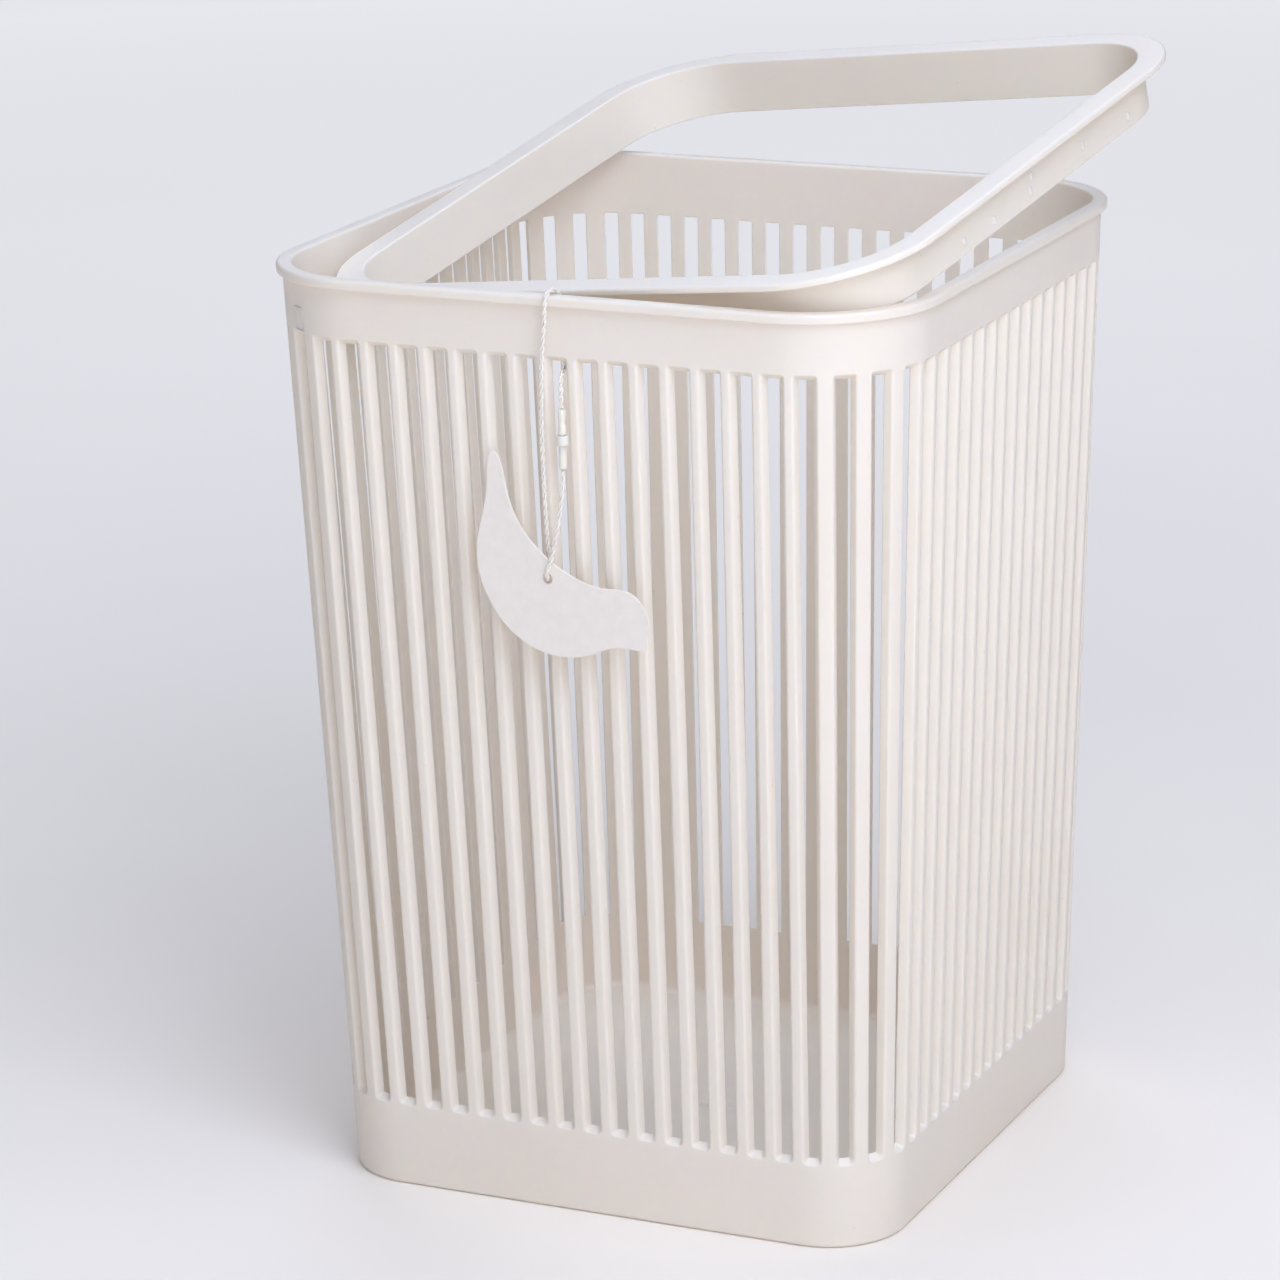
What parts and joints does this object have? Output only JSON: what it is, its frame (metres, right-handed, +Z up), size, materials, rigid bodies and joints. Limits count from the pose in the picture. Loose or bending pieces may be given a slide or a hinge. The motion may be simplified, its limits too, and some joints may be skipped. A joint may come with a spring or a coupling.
{
  "type": "slatted laundry basket with bag ring",
  "caption": "Tall open laundry basket with slatted tapered walls and round corners, a loose ring tilted in its mouth, and a hang tag on a looped string.",
  "frame": {"origin": "centre of the basket's flat underside", "axes": "+Z up through the mouth, -Y out of the front face, where the tag hangs, +X to the right"},
  "size_m": [0.3357, 0.3317, 0.4913],
  "materials": {
    "basket_plastic": "satin moulded",
    "ring_plastic": "satin moulded",
    "string_cotton": "twisted waxed cotton",
    "lock_plastic": "smooth",
    "tag_card": "uncoated board"
  },
  "bodies": {
    "basket": {"basket_body": "basket_plastic", "tag_string": "string_cotton", "lock_pin": "lock_plastic", "lock_socket": "lock_plastic"},
    "ring": {"liner_ring": "ring_plastic"},
    "tag": {"hang_tag": "tag_card"}
  },
  "joints": [
    {"name": "ring_lift", "type": "slide", "parent": "basket", "child": "ring", "axis": [0, 0, 1], "range_m": [0, 0.08]},
    {"name": "tag_swing", "type": "hinge", "parent": "basket", "child": "tag", "pos_m": [-0.0045, -0.1521, 0.2978], "axis": [0, 1, 0], "range_deg": [-18, 18]}
  ]
}
